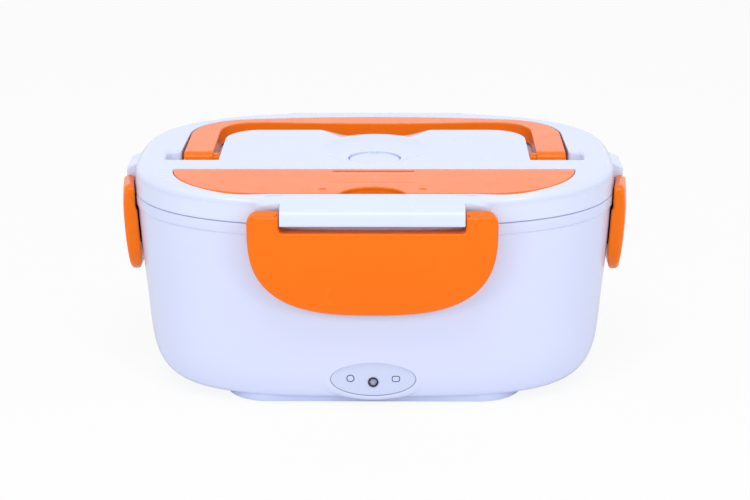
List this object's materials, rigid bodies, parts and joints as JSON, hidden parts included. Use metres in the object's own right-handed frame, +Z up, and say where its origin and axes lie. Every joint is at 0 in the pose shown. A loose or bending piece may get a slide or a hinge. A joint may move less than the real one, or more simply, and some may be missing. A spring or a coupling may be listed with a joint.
{
  "type": "electric lunch box",
  "caption": "Heated lunch box: double-walled base with heating plate, lift-out tray and side cup, and a snap-latched lid with folding handle, covered spoon compartment and steam vent.",
  "frame": {"origin": "on the table under the middle of the box, at the foot ring's lower face", "axes": "+Z up, +X to the right of the lamp side, and the lamp faces -Y"},
  "size_m": [0.2364, 0.168, 0.1],
  "materials": {
    "white_pp": "glossy moulded polypropylene",
    "orange_abs": "glossy moulded ABS",
    "orange_silicone": "satin moulded silicone",
    "natural_pp": "satin food-grade polypropylene",
    "silicone": "satin silicone",
    "aluminium": "pressed and satin",
    "zinc_steel": "zinc-plated",
    "brass": "nickel-flashed brass",
    "ptc_ceramic": "fired ceramic with metallised faces",
    "phenolic": "moulded phenolic",
    "fuse_can": "tinned brass can",
    "wire_insulation": "extruded silicone insulation",
    "panel_film": "satin polycarbonate",
    "black_pc": "glossy black polycarbonate",
    "clear_pc": "clear polycarbonate",
    "led_epoxy": "tinted epoxy",
    "fr4": "glass-epoxy laminate"
  },
  "bodies": {
    "base": {"outer_shell": "white_pp", "inner_liner": "white_pp", "bottom_cover": "white_pp", "bottom_screws": "zinc_steel", "heating_plate": "aluminium", "plate_seal": "silicone", "ptc_heaters": "ptc_ceramic", "heater_clamp": "zinc_steel", "clamp_screws": "zinc_steel", "thermostat": "phenolic", "thermal_fuse": "fuse_can", "heater_leads": "wire_insulation", "lamp_leads": "silicone", "lamp_panel": "panel_film", "lamp_bezel": "black_pc", "lamp_lens": "clear_pc", "lamp_led": "led_epoxy", "lamp_board": "fr4", "inlet_socket": "white_pp", "inlet_pins": "brass"},
    "inlet_flap": {"inlet_flap": "orange_silicone"},
    "tray": {"food_tray": "natural_pp"},
    "cup": {"side_cup": "natural_pp"},
    "lid": {"lid_shell": "white_pp", "lid_liner": "white_pp", "lid_seal": "silicone", "spoon": "orange_abs"},
    "vent": {"vent_plug": "white_pp"},
    "handle": {"handle": "orange_abs"},
    "cover": {"spoon_cover": "orange_abs"},
    "front_latch": {"front_latch": "orange_abs"},
    "back_latch": {"back_latch": "orange_abs"},
    "left_latch": {"left_latch": "orange_abs"},
    "right_latch": {"right_latch": "orange_abs"}
  },
  "joints": [
    {"name": "tray_lift", "type": "slide", "parent": "base", "child": "tray", "axis": [0, 0, 1], "range_m": [0, 0.08]},
    {"name": "cup_lift", "type": "slide", "parent": "tray", "child": "cup", "axis": [0, 0, 1], "range_m": [0, 0.06]},
    {"name": "lid_lift", "type": "slide", "parent": "cup", "child": "lid", "axis": [0, 0, 1], "range_m": [0, 0.06]},
    {"name": "vent_pull", "type": "slide", "parent": "lid", "child": "vent", "axis": [0, 0, 1], "range_m": [0, 0.006]},
    {"name": "handle_swing", "type": "hinge", "parent": "lid", "child": "handle", "pos_m": [0, 0, 0.0958], "axis": [1, 0, 0], "range_deg": [0, 100]},
    {"name": "cover_open", "type": "hinge", "parent": "lid", "child": "cover", "pos_m": [0, -0.0317, 0.098], "axis": [-1, 0, 0], "range_deg": [0, 90]},
    {"name": "front_latch_open", "type": "hinge", "parent": "lid", "child": "front_latch", "pos_m": [0, -0.0811, 0.0931], "axis": [-1, 0, 0], "range_deg": [0, 110]},
    {"name": "back_latch_open", "type": "hinge", "parent": "lid", "child": "back_latch", "pos_m": [0, 0.0811, 0.0931], "axis": [1, 0, 0], "range_deg": [0, 110]},
    {"name": "left_latch_open", "type": "hinge", "parent": "lid", "child": "left_latch", "pos_m": [-0.114, 0, 0.0895], "axis": [0, 1, 0], "range_deg": [0, 110]},
    {"name": "right_latch_open", "type": "hinge", "parent": "lid", "child": "right_latch", "pos_m": [0.114, 0, 0.0895], "axis": [0, -1, 0], "range_deg": [0, 110]},
    {"name": "inlet_flap_open", "type": "hinge", "parent": "base", "child": "inlet_flap", "pos_m": [0, 0.0779, 0.0326], "axis": [1, 0, 0], "range_deg": [0, 120]}
  ]
}
